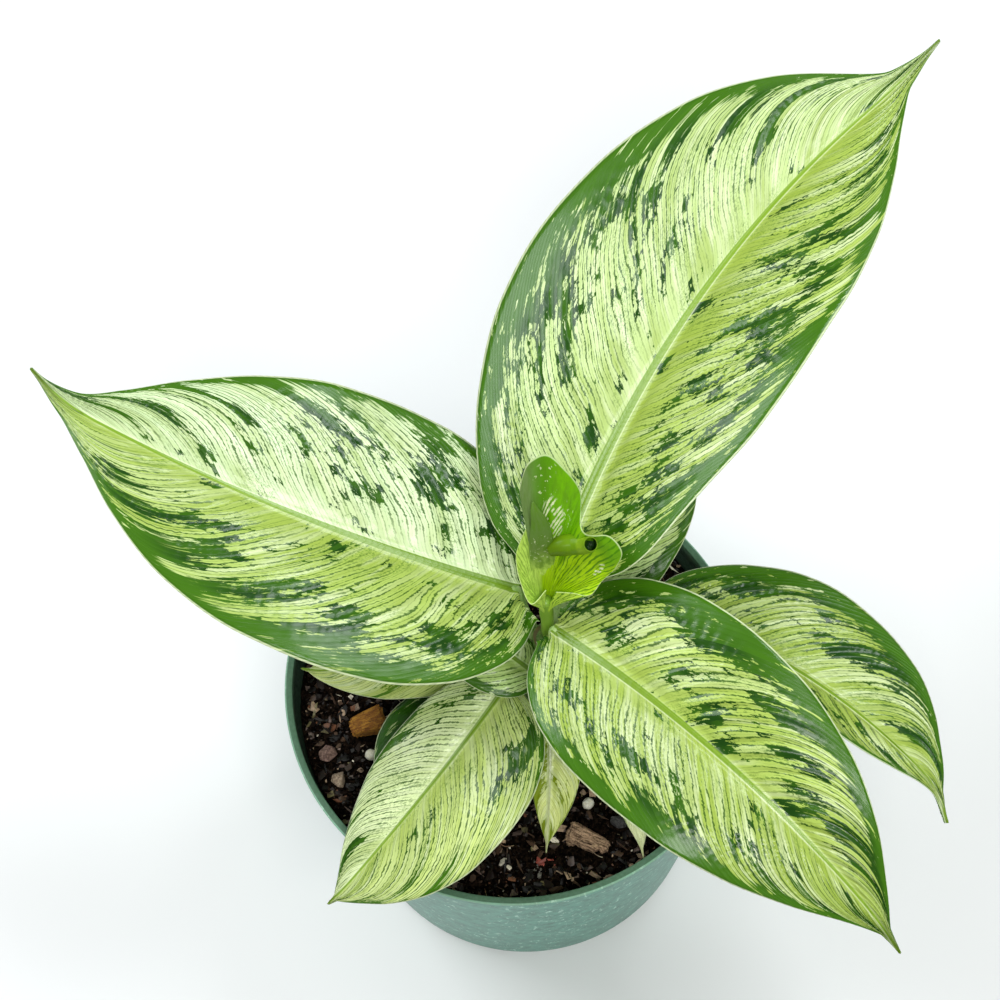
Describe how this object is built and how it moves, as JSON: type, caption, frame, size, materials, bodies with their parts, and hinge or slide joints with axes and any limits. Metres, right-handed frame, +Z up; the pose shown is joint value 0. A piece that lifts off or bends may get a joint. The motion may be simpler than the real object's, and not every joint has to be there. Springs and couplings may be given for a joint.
{
  "type": "potted dieffenbachia",
  "caption": "Young dieffenbachia with broad cream and green spotted leaves on a short ringed cane, one leaf still unrolling, in a round tapered plastic nursery pot of dark soil.",
  "frame": {"origin": "middle of the pot's flat underside, on the surface it stands on", "axes": "+Z up along the pot's axis, -Y towards the front that the picture shows, +X to the right"},
  "size_m": [0.2924, 0.2704, 0.2465],
  "materials": {
    "pot_plastic": "satin",
    "soil": "matte",
    "cane": "satin",
    "spotted_leaf": "satin",
    "young_leaf": "satin",
    "bark": "matte",
    "grit": "matte",
    "feed_prill": "satin"
  },
  "bodies": {
    "root": {"pot": "pot_plastic", "soil": "soil", "cane": "cane", "leaf_01": "spotted_leaf", "leaf_02": "spotted_leaf", "leaf_03": "spotted_leaf", "leaf_04": "spotted_leaf", "leaf_05": "spotted_leaf", "leaf_06": "spotted_leaf", "leaf_07": "spotted_leaf", "leaf_08": "spotted_leaf", "leaf_09": "spotted_leaf", "leaf_10": "spotted_leaf", "leaf_11": "spotted_leaf", "new_leaf": "young_leaf", "bark_chip": "bark", "bark_chunk": "bark", "stone_01": "grit", "stone_02": "grit", "stone_03": "grit", "prill_01": "feed_prill", "prill_02": "feed_prill"}
  },
  "joints": []
}
